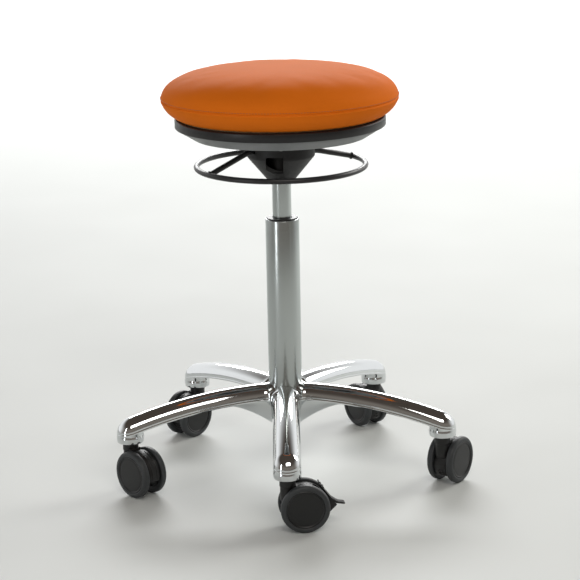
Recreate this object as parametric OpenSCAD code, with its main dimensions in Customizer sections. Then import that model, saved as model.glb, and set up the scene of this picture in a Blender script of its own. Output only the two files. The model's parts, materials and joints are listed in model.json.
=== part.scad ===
// Height-adjustable round stool on a five-star base with twin-wheel casters.
// Origin on the floor at the column's axis, +Z up, front leg along -Y.
// Everything is drawn at the height where a length of the inner cylinder shows.

/* [Seat] */
// Height of the cushion's crown above the floor
seat_height = 619; // [600:1:700]
// Diameter of the cushion over its seam
seat_d = 346; // [330:1:380]
// Diameter of the moulded tray under the cushion
tray_d = 308; // [300:1:316]

/* [Release ring] */
// Diameter of the hand ring over the rod's centre line
ring_d = 248; // [220:1:270]
// Diameter of the ring's rod
rod_d = 8; // [6:0.5:10]
// Direction of the ring's two spokes, from the front leg towards -X
spoke_turn = 58; // [30:1:80]

/* [Column] */
// Outer diameter of the fixed column tube
column_d = 50; // [50:1:51]
// Height of the tube's upper edge
column_top = 394.5; // [380:0.5:396]
// Diameter of the sliding pressure cylinder
cylinder_d = 28; // [27:0.5:28]

/* [Base] */
// Radius of the circle through the five caster stems
stem_circle_r = 243; // [225:1:260]
// Height of the legs' crest at the column
crest_z = 142.6; // [140:0.2:146]
// Width of a leg
leg_w = 39; // [36:1:40]
// Diameter of the boss that holds a caster stem
boss_d = 40.6; // [40:0.2:44]

/* [Casters] */
// Diameter of a wheel
wheel_d = 70; // [66:1:70]
// Distance from the stem's axis to the axle
trail = 22.7; // [21:0.1:25]
// Free width between the two wheels
wheel_gap = 22.6; // [22:0.2:24]
// Width of one wheel
wheel_w = 10.3; // [10:0.1:14]
// Directions in which the five casters trail, from the front leg towards +X
trail_turns = [97, 145, 213, 320, 43];

/* [Hidden] */
LEG_COUNT = 5;
CASTER_PARTS = ["stem", "hood", "axle", "wheel_left", "tread_left", "wheel_right", "tread_right"];
$fn = 96;
fit = 0.05;          // radial gap of a running fit
gap = 0.3;           // gap between pieces that only lie side by side

// seat heights, downwards from the cushion
seat_r = seat_d / 2;
crown_h = 44;
seam_z = seat_height - crown_h;
tray_top = seat_height - 72.5;
tray_h = 13;
tray_t = 3;
tray_r = tray_d / 2;
plate_t = 4;
plate_top = tray_top - tray_t;
plate_bottom = plate_top - plate_t;
cover_top = tray_top - tray_h;
cover_bottom = cover_top - 15.2;
cover_t = 2.5;
cover_foot_r = tray_r - 26;
cover_mouth_r = 58;

// seat board and its fixings
board_r = seat_r - 27;
board_t = 12;
bolt_spacing = 120;
bolt_r = 3.9;
head_t = 4;
washer_t = 1.5;
tee_flange_r = 9.5;
tee_flange_t = 1.5;
boss_circle_r = 118;
screw_r = 1.75;

// mechanism housing: a bell around the taper socket
socket_bottom = tray_top - 93.5;
socket_top = socket_bottom + 47;
socket_r = 22;
bell_r = 50;
bell_foot_r = 20.5;
bell_knee_z = socket_bottom + 35.5;
bell_wall = 5;
window_w = 18;

// hand ring, its spokes and the plate that presses the valve
ring_r = ring_d / 2;
rod_r = rod_d / 2;
ring_z = tray_top - 72.5;
front_spoke_rise = 0.403;
rear_spoke_rise = 0.214;
spoke_end_s = 42;
strip_w = 15;
strip_t = 3;
strip_z = socket_top + 10.5;
pivot_s = 30;
pivot_z = strip_z + 8;
pin_r = 3;

// pressure cylinder, rod and what holds it in the column
cylinder_r = cylinder_d / 2;
cylinder_bottom = 155;
cylinder_wall = 1.5;
taper_drop = 0.75;
gland_h = 12;
cap_h = 20;
button_r = 4;
column_r = column_d / 2;
column_wall = 1.6;
column_bottom = 90;
floor_t = 3.5;
rod_hole_r = 6;
piston_rod_r = 5;
piston_z = 322;
piston_h = 10;
bush_bottom = 302;
bush_lip = 1.7;
race_t = 1.5;
ball_r = 1.8;
ball_circle_r = 9.6;
ball_count = 10;
clip_t = 1.6;

// base casting
arc_r = 700;
arc_start = 45;
leg_h = 22;
leg_sweep = asin((stem_circle_r - arc_start) / (arc_r - leg_h));
leg_root_r = 31;
arc_z = crest_z - arc_r;
boss_bottom = 77.5;
hub_r = 33.5;
hub_foot_r = 29;
hub_bottom = 88;
web_w = 24;
web_end_r = 105;
web_end_z = 118.5;
web_drop = 34.5;

// casters
wheel_r = wheel_d / 2;
tread_t = 7.5;
core_r = wheel_r - tread_t;
half_gap = wheel_gap / 2;
stem_r = 5.5;
stem_top = 106;
pivot_stem_r = 5;
flange_t = 1.2;
neck_r = 11.5;
neck_top = boss_bottom - flange_t - 0.5;
hood_r = wheel_r - 3;
hood_w = 19;
hood_foot_z = 14;
axle_r = 3;
axle_half = half_gap + wheel_w - 3.2;
brake_caster = 1;
slot_w = 12;
brake_pin_s = 42;
brake_pin_z = 52;
brake_eye_r = 4.5;

// ---- shared shapes ----

module tube(z0, z1, r_in, r_out) {
    translate([0, 0, z0]) difference() {
        cylinder(r = r_out, h = z1 - z0);
        translate([0, 0, -1]) cylinder(r = r_in, h = z1 - z0 + 2);
    }
}

// straight rod between two points
module rod_between(a, b, r) {
    d = b - a;
    length = norm(d);
    translate(a)
        rotate([0, acos(d[2] / length), atan2(d[1], d[0])])
            cylinder(r = r, h = length);
}

// the four corners of a square pattern
module at_bolts() {
    for (x = [-1, 1], y = [-1, 1])
        translate([x * bolt_spacing / 2, y * bolt_spacing / 2, 0]) children();
}

module at_cover_screws() {
    for (turn = [0:90:270])
        rotate([0, 0, turn]) translate([boss_circle_r, 0, 0]) children();
}

module rounded_square(side, r) {
    square([side, side - 2 * r], center = true);
    square([side - 2 * r, side], center = true);
    for (x = [-1, 1], y = [-1, 1])
        translate([x * (side / 2 - r), y * (side / 2 - r)]) circle(r = r);
}

// ---- seat ----

// height of the cushion's skin at t, the radius over the seam's radius
function crown_at(t) = seam_z + crown_h * pow(1 - pow(t, 3.5), 1 / 2.1);
function belly_at(t) = seam_z - 34 * pow(1 - pow(t, 7.9), 1 / 1.53);

module seat_cushion() {
    foot_t = (board_r + 3) / seat_r;
    pocket_top = tray_top + board_t + gap;
    belly = [for (k = [0:8]) let (t = foot_t + (1 - foot_t) * k / 8) [t * seat_r, belly_at(t)]];
    crown = [for (k = [1:18]) let (t = cos(k * 5)) [t * seat_r, crown_at(t)]];
    color("darkorange") rotate_extrude() polygon(concat(
        [[0, pocket_top], [board_r + gap, pocket_top], [board_r + gap, tray_top + 0.5],
         [foot_t * seat_r, tray_top + 0.5]],
        belly, crown));
}

module seat_board() {
    color("burlywood") difference() {
        translate([0, 0, tray_top]) cylinder(r = board_r, h = board_t);
        at_bolts() {
            translate([0, 0, tray_top - 1]) cylinder(r = bolt_r + 1.1, h = board_t + 2);
            translate([0, 0, tray_top + board_t - tee_flange_t])
                cylinder(r = tee_flange_r + 0.2, h = tee_flange_t + 1);
        }
    }
}

module tee_nuts() {
    top = tray_top + board_t;
    color("silver") at_bolts() {
        tube(tray_top, top, bolt_r + 0.1, bolt_r + 1);
        tube(top - tee_flange_t, top, bolt_r + 0.1, tee_flange_r);
    }
}

module seat_tray() {
    color("black") difference() {
        union() {
            rotate_extrude() polygon([
                [70, tray_top - tray_t], [tray_r - 3, tray_top - tray_t], [tray_r - 3, cover_top],
                [tray_r - 0.8, cover_top], [tray_r, cover_top + 1], [tray_r, tray_top - 1.5],
                [tray_r - 1.5, tray_top], [70, tray_top]]);
            at_cover_screws() translate([0, 0, cover_bottom + cover_t])
                cylinder(r = 5, h = tray_top - tray_t - cover_bottom - cover_t);
        }
        at_bolts() translate([0, 0, tray_top - tray_t - 1]) cylinder(r = bolt_r + 0.5, h = tray_t + 2);
        at_cover_screws() translate([0, 0, cover_bottom]) cylinder(r = screw_r + fit, h = 18);
    }
}

module under_cover() {
    rim_r = tray_r - 2;
    color("gray") difference() {
        rotate_extrude() polygon([
            [cover_mouth_r, cover_bottom], [cover_foot_r, cover_bottom], [rim_r, cover_top - 0.1],
            [rim_r - 3, cover_top - 0.1], [cover_foot_r - 1, cover_bottom + cover_t],
            [cover_mouth_r, cover_bottom + cover_t]]);
        at_cover_screws() translate([0, 0, cover_bottom - 1]) cylinder(r = screw_r + 0.3, h = cover_t + 2);
    }
}

module cover_screws() {
    color("dimgray") at_cover_screws() {
        translate([0, 0, cover_bottom]) cylinder(r = screw_r, h = 16);
        translate([0, 0, cover_bottom - 1.8]) cylinder(r1 = 2.6, r2 = 4, h = 1.8);
    }
}

// steel plate under the seat, with two welded ears for the lever's pivot pin
module seat_plate() {
    color("dimgray") difference() {
        union() {
            translate([0, 0, plate_bottom]) linear_extrude(plate_t) rounded_square(150, 14);
            along_spoke() for (side = [-1, 1])
                translate([pivot_s - 8, side * 11.1 - 1.5, pivot_z - 6])
                    cube([16, 3, plate_bottom - pivot_z + 7]);
        }
        at_bolts() translate([0, 0, plate_bottom - 1]) cylinder(r = bolt_r + 0.3, h = plate_t + 2);
        along_spoke() translate([pivot_s, 0, pivot_z]) rotate([90, 0, 0])
            cylinder(r = pin_r, h = 40, center = true);
    }
}

module plate_bolts() {
    color("silver") at_bolts() {
        translate([0, 0, plate_bottom - washer_t]) cylinder(r = bolt_r, h = board_t + plate_t + tray_t);
        translate([0, 0, plate_bottom - washer_t]) cylinder(r = 8.5, h = washer_t);
        translate([0, 0, plate_bottom - washer_t - head_t]) cylinder(r = 7.3, h = head_t, $fn = 6);
    }
}

// turn the local +X axis into the direction of the front spoke
module along_spoke() {
    rotate([0, 0, -90 - spoke_turn]) children();
}

module bell_outline(inset) {
    polygon([[0, socket_bottom], [bell_foot_r - inset, socket_bottom], [bell_r - inset, bell_knee_z],
             [bell_r - inset, plate_bottom], [0, plate_bottom]]);
}

module mechanism_housing() {
    color([0.12, 0.12, 0.13]) difference() {
        rotate_extrude() difference() {
            bell_outline(0);
            difference() {
                bell_outline(bell_wall);
                translate([0, socket_bottom - 1]) square([socket_r, socket_top - socket_bottom + 1]);
            }
        }
        translate([0, 0, socket_bottom - 0.1])
            cylinder(r1 = cylinder_r + fit, r2 = cylinder_r + fit - taper_drop,
                     h = socket_top - socket_bottom + 0.2);
        // windows for the two spokes and a cored recess at the front
        along_spoke() translate([30, -window_w / 2, socket_top - 3]) cube([30, window_w, 20]);
        along_spoke() translate([-60, -window_w / 2, bell_knee_z - 12]) cube([30, window_w, 28]);
        translate([-22, -60, bell_knee_z - 21]) cube([25, 30, 26]);
    }
}

module lever_pivot_pin() {
    color("silver") along_spoke() translate([pivot_s, 0, pivot_z]) rotate([90, 0, 0]) {
        cylinder(r = pin_r, h = 29, center = true);
        for (side = [-1, 1])
            translate([0, 0, side * 13.5]) cylinder(r = 4.6, h = 1.6, center = true);
    }
}

// ---- release lever ----

module release_ring() {
    color("black") translate([0, 0, ring_z]) rotate_extrude()
        translate([ring_r, 0]) circle(r = rod_r, $fn = 48);
}

module ring_spokes() {
    front_in = [spoke_end_s, 0, ring_z + (ring_r - spoke_end_s) * front_spoke_rise];
    rear_in = [-spoke_end_s, 0, ring_z + (ring_r - spoke_end_s) * rear_spoke_rise];
    color("black") along_spoke() {
        rod_between([ring_r, 0, ring_z], front_in, rod_r);
        rod_between([-ring_r, 0, ring_z], rear_in, rod_r);
    }
}

module actuator_plate() {
    leg_foot = ring_z + (ring_r - spoke_end_s) * rear_spoke_rise - 2;
    color("dimgray") along_spoke() {
        translate([-39, -strip_w / 2, strip_z]) cube([91, strip_w, strip_t]);
        translate([-42, -strip_w / 2, leg_foot]) cube([3, strip_w, strip_z + strip_t - leg_foot]);
        for (side = [-1, 1]) difference() {
            translate([pivot_s - 6, side * (strip_w / 2 - 1.25) - 1.25, strip_z])
                cube([12, 2.5, 13]);
            translate([pivot_s, 0, pivot_z]) rotate([90, 0, 0])
                cylinder(r = pin_r + fit, h = 40, center = true);
        }
    }
}

module valve_button() {
    stalk_bottom = socket_top - 14;
    head_top = strip_z - 0.8;
    color("silver") rotate_extrude() polygon([
        [0, stalk_bottom], [button_r, stalk_bottom], [button_r, head_top - 1.2],
        [button_r - 1, head_top - 0.4], [1.5, head_top], [0, head_top]]);
}

// ---- height adjustment ----

module gas_cylinder() {
    bore_r = cylinder_r - cylinder_wall;
    color("lightsteelblue") rotate_extrude() polygon([
        [piston_rod_r + fit, cylinder_bottom], [cylinder_r - 1, cylinder_bottom],
        [cylinder_r, cylinder_bottom + 2], [cylinder_r, socket_bottom],
        [cylinder_r - taper_drop, socket_top - 0.5], [cylinder_r - taper_drop - 1, socket_top],
        [button_r + fit, socket_top], [button_r + fit, socket_top - cap_h],
        [bore_r, socket_top - cap_h], [bore_r, cylinder_bottom + gland_h],
        [piston_rod_r + fit, cylinder_bottom + gland_h]]);
}

module piston_rod() {
    clip_z = column_bottom - clip_t;
    color("silver") difference() {
        translate([0, 0, hub_bottom - 3]) cylinder(r = piston_rod_r, h = piston_z + piston_h - hub_bottom + 5);
        tube(clip_z, column_bottom - 0.1, piston_rod_r - 1, piston_rod_r + 1);
    }
}

module piston_head() {
    color("dimgray") tube(piston_z, piston_z + piston_h, piston_rod_r, cylinder_r - cylinder_wall - fit);
}

module retaining_clip() {
    clip_z = column_bottom - clip_t;
    color("silver") tube(clip_z, column_bottom - 0.1, piston_rod_r - 1, 9);
}

module guide_bush() {
    bush_r = column_r - column_wall - 0.02;
    slide_r = cylinder_r + fit;
    color([0.08, 0.08, 0.08]) rotate_extrude() polygon([
        [slide_r, bush_bottom], [bush_r, bush_bottom], [bush_r, column_top],
        [bush_r - 0.4, column_top + bush_lip - 0.5], [bush_r - 1.2, column_top + bush_lip],
        [slide_r + 1, column_top + bush_lip], [slide_r, column_top + bush_lip - 1],
        [slide_r, column_top - 28], [slide_r + 1.5, column_top - 30],
        [slide_r + 1.5, bush_bottom + 28], [slide_r, bush_bottom + 26]]);
}

module column_tube() {
    inner_r = column_r - column_wall;
    color("lightgray") rotate_extrude() polygon([
        [rod_hole_r, column_bottom], [column_r - 1, column_bottom], [column_r, column_bottom + 1],
        [column_r, column_top - 0.8], [column_r - 0.8, column_top], [inner_r, column_top],
        [inner_r, column_bottom + floor_t], [rod_hole_r, column_bottom + floor_t]]);
}

module thrust_bearing() {
    lower_top = column_bottom + floor_t + race_t;
    upper_bottom = lower_top + 2 * ball_r;
    color("silver") {
        tube(lower_top - race_t, lower_top - fit, rod_hole_r + gap, 13);
        for (k = [0:ball_count - 1])
            rotate([0, 0, k * 360 / ball_count])
                translate([ball_circle_r, 0, lower_top + ball_r]) sphere(r = ball_r - fit);
        tube(upper_bottom + fit, upper_bottom + race_t, rod_hole_r + gap, 13);
    }
}

module rubber_buffer() {
    bottom = column_bottom + floor_t + 2 * race_t + 2 * ball_r;
    color([0.15, 0.15, 0.15]) tube(bottom, bottom + 8, rod_hole_r, 14);
}

// ---- base ----

module at_leg(i) {
    rotate([0, 0, (i - 1) * 360 / LEG_COUNT]) children();
}

// half of a leg's section, as shares of its half width and height
LEG_HALF = [[0, 0], [0.5, -0.12], [0.8, -0.35], [0.97, -0.67], [1, -1]];

function leg_section(w, h) = [for (p = LEG_HALF) [p[0] * w / 2, p[1] * h]];

// one leg: a rounded bar swept along an arc, with a domed end
module leg() {
    half = leg_section(leg_w, leg_h);
    dome = leg_section(leg_w - 0.6, leg_h - 0.3);
    outline = concat(half, [for (k = [len(half) - 1:-1:1]) [-half[k][0], half[k][1]]]);
    root = asin((leg_root_r - arc_start) / arc_r);
    translate([0, -arc_start, arc_z]) rotate([0, -90, 180]) {
        rotate([0, 0, root]) rotate_extrude(angle = leg_sweep - root, $fn = 400)
            polygon([for (p = outline) [arc_r + p[1], p[0]]]);
        rotate([0, 0, leg_sweep]) translate([arc_r - 0.3, 0, 0]) rotate([0, 90, 0])
            rotate_extrude() polygon(concat(dome, [[0, -leg_h + 0.3]]));
    }
}

// web under a leg, deepest at the hub
module leg_web() {
    foot_r = hub_foot_r - 6;
    edge = [for (k = [0:6]) let (r = foot_r + (web_end_r - foot_r) * k / 6)
        [r, web_end_z - web_drop * pow((web_end_r - r) / 77, 1.7)]];
    rotate([90, 0, -90]) translate([0, 0, -web_w / 2]) linear_extrude(web_w)
        polygon(concat(edge, [[web_end_r, web_end_z + 6], [foot_r, web_end_z + 6]]));
}

module star_base() {
    color("gainsboro") difference() {
        union() {
            for (i = [1:LEG_COUNT]) at_leg(i) {
                leg();
                leg_web();
                translate([0, -stem_circle_r, boss_bottom]) {
                    cylinder(r1 = boss_d / 2 - 0.8, r2 = boss_d / 2, h = 12);
                    cylinder(r = 18.2, h = 21.5);
                }
            }
            translate([0, 0, hub_bottom]) cylinder(r = hub_foot_r, h = 40);
            translate([0, 0, hub_bottom + 34]) cylinder(r = hub_r, h = crest_z - 34 - hub_bottom);
        }
        for (i = [1:LEG_COUNT]) at_leg(i)
            translate([0, -stem_circle_r, boss_bottom - 1]) cylinder(r = stem_r, h = stem_top - boss_bottom + 1);
        translate([0, 0, hub_bottom - 1]) cylinder(r = column_r + fit, h = crest_z);
    }
}

// ---- casters, drawn round their stem with the axle towards -Y ----

module at_caster(i) {
    at_leg(i) translate([0, -stem_circle_r, 0])
        rotate([0, 0, trail_turns[i - 1] - (i - 1) * 360 / LEG_COUNT]) children();
}

// turn a solid drawn round +Z into one round the axle, outwards to one side
module on_axle(side) {
    translate([0, -trail, wheel_r]) rotate([0, side * 90, 0]) children();
}

// extrude an outline given as [distance behind the stem, height]
module across(width) {
    rotate([90, 0, -90]) translate([0, 0, -width / 2]) linear_extrude(width) children();
}

module caster_stem() {
    color("silver") {
        translate([0, 0, boss_bottom]) cylinder(r = stem_r - 0.02, h = stem_top - boss_bottom - 1.5);
        translate([0, 0, neck_top + 0.5]) cylinder(r = 8, h = flange_t);
        translate([0, 0, 50]) cylinder(r = pivot_stem_r, h = neck_top + 1 - 50);
    }
}

module caster_hood(braked) {
    color([0.14, 0.14, 0.15]) difference() {
        union() {
            on_axle(1) cylinder(r = hood_r, h = hood_w, center = true);
            across(hood_w) translate([-5, wheel_r + 8]) square([5 + neck_r, 24]);
            translate([0, 0, wheel_r + 10]) cylinder(r = neck_r - 0.7, h = 24);
            translate([0, 0, 66]) cylinder(r = neck_r, h = neck_top - 66);
            // moulded eye low on the leading edge
            translate([0, 2, 23]) rotate([62, 0, 0]) cylinder(r = 4.5, h = 12, center = true);
        }
        // clear of the floor, and open at the lower trailing side
        translate([0, -trail, hood_foot_z - 20]) cube([40, 90, 40], center = true);
        translate([-20, -trail - 50, 0]) cube([40, 42, wheel_r - 7]);
        translate([0, 0, 49.5]) cylinder(r = pivot_stem_r + fit, h = 40);
        on_axle(1) cylinder(r = axle_r, h = 40, center = true);
        if (braked) {
            translate([-slot_w / 2, -90, 5]) cube([slot_w, 90 - trail - 13, 66]);
            translate([0, -brake_pin_s, brake_pin_z]) rotate([0, 90, 0])
                cylinder(r = 2, h = 40, center = true);
        }
    }
}

module caster_axle() {
    color("silver") on_axle(1) {
        cylinder(r = axle_r - 0.02, h = 2 * axle_half - 2, center = true);
        cylinder(r = axle_r - 1, h = 2 * axle_half, center = true);
    }
}

// hub, web and rim of one wheel, moulded in one piece
module caster_wheel(side) {
    color([0.18, 0.18, 0.19]) on_axle(side) rotate_extrude() polygon([
        [axle_r + fit, half_gap - 1.2], [8, half_gap - 1.2], [8, half_gap + wheel_w - 4],
        [core_r - 3, half_gap + wheel_w - 4], [core_r - 3, half_gap], [core_r, half_gap],
        [core_r, half_gap + wheel_w - 1.5], [core_r - 1.5, half_gap + wheel_w - 0.8],
        [core_r - 3.5, half_gap + wheel_w - 1.6], [0, half_gap + wheel_w - 1.6],
        [0, half_gap + wheel_w - 3], [axle_r + fit, half_gap + wheel_w - 3]]);
}

module caster_tread(side) {
    edge = 3;
    inside = half_gap;
    outside = half_gap + wheel_w;
    color([0.25, 0.26, 0.27]) on_axle(side) rotate_extrude() polygon(concat(
        [[core_r, inside + 0.5], [core_r + 1, inside]],
        [for (a = [0:30:90]) [wheel_r - edge + edge * sin(a), inside + edge - edge * cos(a)]],
        [for (a = [0:30:90]) [wheel_r - edge + edge * cos(a), outside - edge + edge * sin(a)]],
        [[core_r + 1, outside], [core_r, outside - 1]]));
}

module brake_pedal() {
    color([0.14, 0.14, 0.15]) at_caster(brake_caster) difference() {
        union() {
            across(slot_w - 1) {
                translate([brake_pin_s, brake_pin_z]) circle(r = brake_eye_r);
                polygon([[40, 48], [48, 38], [52, 29], [58, 24], [69, 34.5], [61, 44], [44, 56]]);
            }
            across(15) polygon([
                [43, 69], [61.5, 45.5], [70, 38.5], [80.5, 36], [80.5, 33.8], [68, 34.8], [60, 42],
                [50, 55], [44.5, 62.5]]);
        }
        translate([0, -brake_pin_s, brake_pin_z]) rotate([0, 90, 0])
            cylinder(r = 2 + fit, h = 40, center = true);
    }
}

module brake_pin() {
    color("silver") at_caster(brake_caster) translate([0, -brake_pin_s, brake_pin_z])
        rotate([0, 90, 0]) cylinder(r = 2 - 0.02, h = hood_w - 0.4, center = true);
}

module caster_part(i, part) {
    at_caster(i) {
        if (part == "stem") caster_stem();
        if (part == "hood") caster_hood(i == brake_caster);
        if (part == "axle") caster_axle();
        if (part == "wheel_left") caster_wheel(-1);
        if (part == "tread_left") caster_tread(-1);
        if (part == "wheel_right") caster_wheel(1);
        if (part == "tread_right") caster_tread(1);
    }
}

seat_cushion();
seat_board();
tee_nuts();
seat_tray();
under_cover();
cover_screws();
seat_plate();
plate_bolts();
mechanism_housing();
lever_pivot_pin();
release_ring();
ring_spokes();
actuator_plate();
valve_button();
gas_cylinder();
piston_rod();
piston_head();
retaining_clip();
guide_bush();
column_tube();
thrust_bearing();
rubber_buffer();
star_base();
brake_pedal();
brake_pin();
for (i = [1:LEG_COUNT])
    for (p = CASTER_PARTS)
        caster_part(i, p);
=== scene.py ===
"""Round swivel stool: upholstery, hand ring, gas column, star base and casters on the fixed frame.

Everything is in metres, with the floor at z = 0 and the column on the Z axis. Sizes that the frame
knows are read from it, and the rest are settings that the sidebar panel lists.
"""
import json
import math

import bmesh
import bpy
import numpy as np
from bpy.props import FloatProperty, FloatVectorProperty, PointerProperty
from mathutils import Matrix, Vector, noise
from mathutils.bvhtree import BVHTree


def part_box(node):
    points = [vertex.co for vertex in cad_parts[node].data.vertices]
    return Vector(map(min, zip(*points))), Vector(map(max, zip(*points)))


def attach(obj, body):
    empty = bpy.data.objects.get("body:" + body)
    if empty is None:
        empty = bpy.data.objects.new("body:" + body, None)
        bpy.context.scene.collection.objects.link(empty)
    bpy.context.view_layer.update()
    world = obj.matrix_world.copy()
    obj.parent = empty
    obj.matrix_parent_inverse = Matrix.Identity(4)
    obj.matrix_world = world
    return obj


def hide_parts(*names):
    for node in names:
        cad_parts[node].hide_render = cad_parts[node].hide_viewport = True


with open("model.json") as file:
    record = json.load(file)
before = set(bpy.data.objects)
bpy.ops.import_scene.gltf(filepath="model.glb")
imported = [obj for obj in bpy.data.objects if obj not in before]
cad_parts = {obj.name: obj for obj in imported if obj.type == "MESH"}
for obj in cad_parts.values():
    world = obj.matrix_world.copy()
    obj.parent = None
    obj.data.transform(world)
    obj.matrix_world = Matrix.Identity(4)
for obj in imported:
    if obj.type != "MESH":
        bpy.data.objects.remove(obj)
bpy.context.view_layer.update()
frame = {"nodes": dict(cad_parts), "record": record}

bl_info = {
    "name": "Swivel Stool Builder",
    "version": (1, 0, 0),
    "blender": (4, 5, 0),
    "location": "View3D > Sidebar > Stool",
    "description": "Builds the visible pieces of a round height-adjustable stool",
    "category": "Object",
}

MM = 0.001
CASTERS = (1, 2, 3, 4, 5)
SIDES = {"left": -1, "right": 1}
BRAKED = 1
# distances of a wheel's inner and outer face from its caster's middle, and its tread's thickness
WHEEL_NEAR, WHEEL_FAR, TREAD = 0.0113, 0.0216, 0.0075
# depth of the cushion below its seam, and how flat and how full its two faces are
BELLY_DEPTH = 0.034
CROWN_CURVE, BELLY_CURVE = (3.5, 2.1), (7.9, 1.53)


# ---- colours and places ----

def linear(code):
    """A colour written as sRGB hex, as linear RGB."""
    values = [int(code[k:k + 2], 16) / 255 for k in (0, 2, 4)]
    return tuple(v / 12.92 if v <= 0.04045 else ((v + 0.055) / 1.055) ** 2.4 for v in values)


def colour(code, name, text):
    return FloatVectorProperty(name=name, description=text, subtype="COLOR", size=3,
                               min=0, max=1, default=linear(code))


def length(value, name, text):
    return FloatProperty(name=name, description=text, unit="LENGTH", default=value, precision=4)


def middle(node):
    low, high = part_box(node)
    return (low + high) / 2


def radius(node):
    low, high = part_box(node)
    return (high.x - low.x) / 2


def top(node):
    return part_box(node)[1].z


def bottom(node):
    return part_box(node)[0].z


def caster_place(i):
    """Matrix of caster i: X along its axle, Y ahead, origin on the floor under its stem."""
    stem, axle = middle(f"caster_{i}_stem"), middle(f"caster_{i}_axle")
    back = Vector((axle.x - stem.x, axle.y - stem.y, 0)).normalized()
    across = Vector((-back.y, back.x, 0))
    turn = Matrix((across, -back, Vector((0, 0, 1)))).transposed()
    return Matrix.Translation((stem.x, stem.y, 0)) @ turn.to_4x4()


def caster_trail():
    stem, axle = middle("caster_1_stem"), middle("caster_1_axle")
    return (stem - axle).xy.length


def stem_circle():
    """Radius of the circle that the caster stems stand on."""
    return middle("caster_1_stem").xy.length


def leg_turns():
    """Rotations that bring a shape drawn along X to each leg, with the first one to the front."""
    return [Matrix.Rotation(-math.pi / 2 + 2 * math.pi * i / len(CASTERS), 4, "Z")
            for i in range(len(CASTERS))]


# ---- settings ----

class StoolSeatSettings(bpy.types.PropertyGroup):
    cover: colour("E6741A", "Cover", "Colour of the upholstery")
    thread: colour("A9501A", "Thread", "Colour of the seam's thread")
    crown: length(0.044, "Crown height", "Height of the cushion above its seam")
    swell: length(0.0035, "Swell", "How far short the cover is cut before it is blown out")
    stitch: length(0.0042, "Stitch pitch", "Distance from one stitch to the next")
    tray: colour("100E10", "Tray", "Colour of the moulded tray")
    under: colour("77797A", "Under-cover", "Colour of the cover under the tray")


class StoolRingSettings(bpy.types.PropertyGroup):
    coat: colour("141314", "Coating", "Powder coat of the ring and the mechanism")
    bead: length(0.0016, "Weld bead", "Height of the weld where a spoke meets the ring")


class StoolBaseSettings(bpy.types.PropertyGroup):
    metal: colour("DFE2E3", "Aluminium", "Colour of the polished aluminium")
    # the webs' and hub's dull casting grey, darkened further as painted shade for their place under the
    # legs
    cast: colour("4F4C48", "Cast skin", "Colour of the unpolished webs")
    tube: colour("BFC4C3", "Column", "Colour of the column tube")
    leg_width: length(0.0394, "Leg width", "Width of a leg over its lower rim")
    crown_width: length(0.0388, "Crown width", "Width of a leg's rounded crown")
    crown_depth: length(0.0195, "Crown depth", "Height of the crown above the rim")
    leg_depth: length(0.022, "Leg depth", "Height of a leg's polished side")
    arc: length(0.700, "Leg arc", "Radius of the arc along a leg's crest")
    arc_start: length(0.045, "Arc start", "Distance from the column to the highest point of the crest")
    fillet: length(0.009, "Fillet", "Radius of the corner between two legs")


class StoolCasterSettings(bpy.types.PropertyGroup):
    hood: colour("101010", "Hood", "Colour of the caster hoods")
    disc: colour("121314", "Wheel", "Colour of the wheel discs")
    tread: colour("333638", "Tread", "Colour of the soft treads")
    shoulder: length(0.0048, "Shoulder", "Rounding of a tread's outer edge")


class StoolStageSettings(bpy.types.PropertyGroup):
    floor: colour("D6DAD8", "Floor", "Colour of the studio floor")
    lens: FloatProperty(name="Lens", description="Focal length of the camera", default=117.09,
                        unit="CAMERA")
    distance: length(2.7233, "Distance", "Distance of the camera in front of the column")
    height: length(0.9941, "Height", "Height of the camera above the floor")
    pitch: FloatProperty(name="Pitch", description="How far the camera looks down", default=0.255,
                         subtype="ANGLE")
    yaw: FloatProperty(name="Yaw", description="How far the camera looks to the right",
                       default=0.0035, subtype="ANGLE")
    roll: FloatProperty(name="Roll", description="How far the camera leans", default=-0.0194,
                        subtype="ANGLE")


# ---- mesh tools ----

def rounded(corners, closed=True, steps=5):
    """The outline through corners (x, y, radius), with each corner as an arc of that radius."""
    path = []
    count = len(corners)
    for k, (x, y, size) in enumerate(corners):
        here = Vector((x, y))
        if size <= 0 or (not closed and k in (0, count - 1)):
            path.append(here)
            continue
        before = (Vector(corners[k - 1][:2]) - here).normalized()
        after = (Vector(corners[(k + 1) % count][:2]) - here).normalized()
        half = before.angle(after) / 2
        reach = size / math.tan(half)
        centre = here + (before + after).normalized() * (size / math.sin(half))
        first = here + before * reach - centre
        last = here + after * reach - centre
        start = math.atan2(first.y, first.x)
        turn = (math.atan2(last.y, last.x) - start + math.pi) % (2 * math.pi) - math.pi
        for j in range(steps + 1):
            angle = start + turn * j / steps
            path.append(centre + Vector((math.cos(angle), math.sin(angle))) * size)
    return path


def lathe(outline, segments=128, closed=True):
    """Vertices and faces of an outline of (radius, height) turned round Z."""
    verts, faces = [], []
    rows = []
    for r, z in outline:
        if abs(r) < 1e-7:
            rows.append([len(verts)] * segments)
            verts.append(Vector((0, 0, z)))
            continue
        rows.append(list(range(len(verts), len(verts) + segments)))
        for k in range(segments):
            angle = 2 * math.pi * k / segments
            verts.append(Vector((r * math.cos(angle), r * math.sin(angle), z)))
    pairs = list(zip(rows, rows[1:]))
    if closed:
        pairs.append((rows[-1], rows[0]))
    for a, b in pairs:
        for k in range(segments):
            n = (k + 1) % segments
            face = list(dict.fromkeys((a[k], a[n], b[n], b[k])))
            if len(face) > 2:
                faces.append(face)
    return verts, faces


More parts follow.
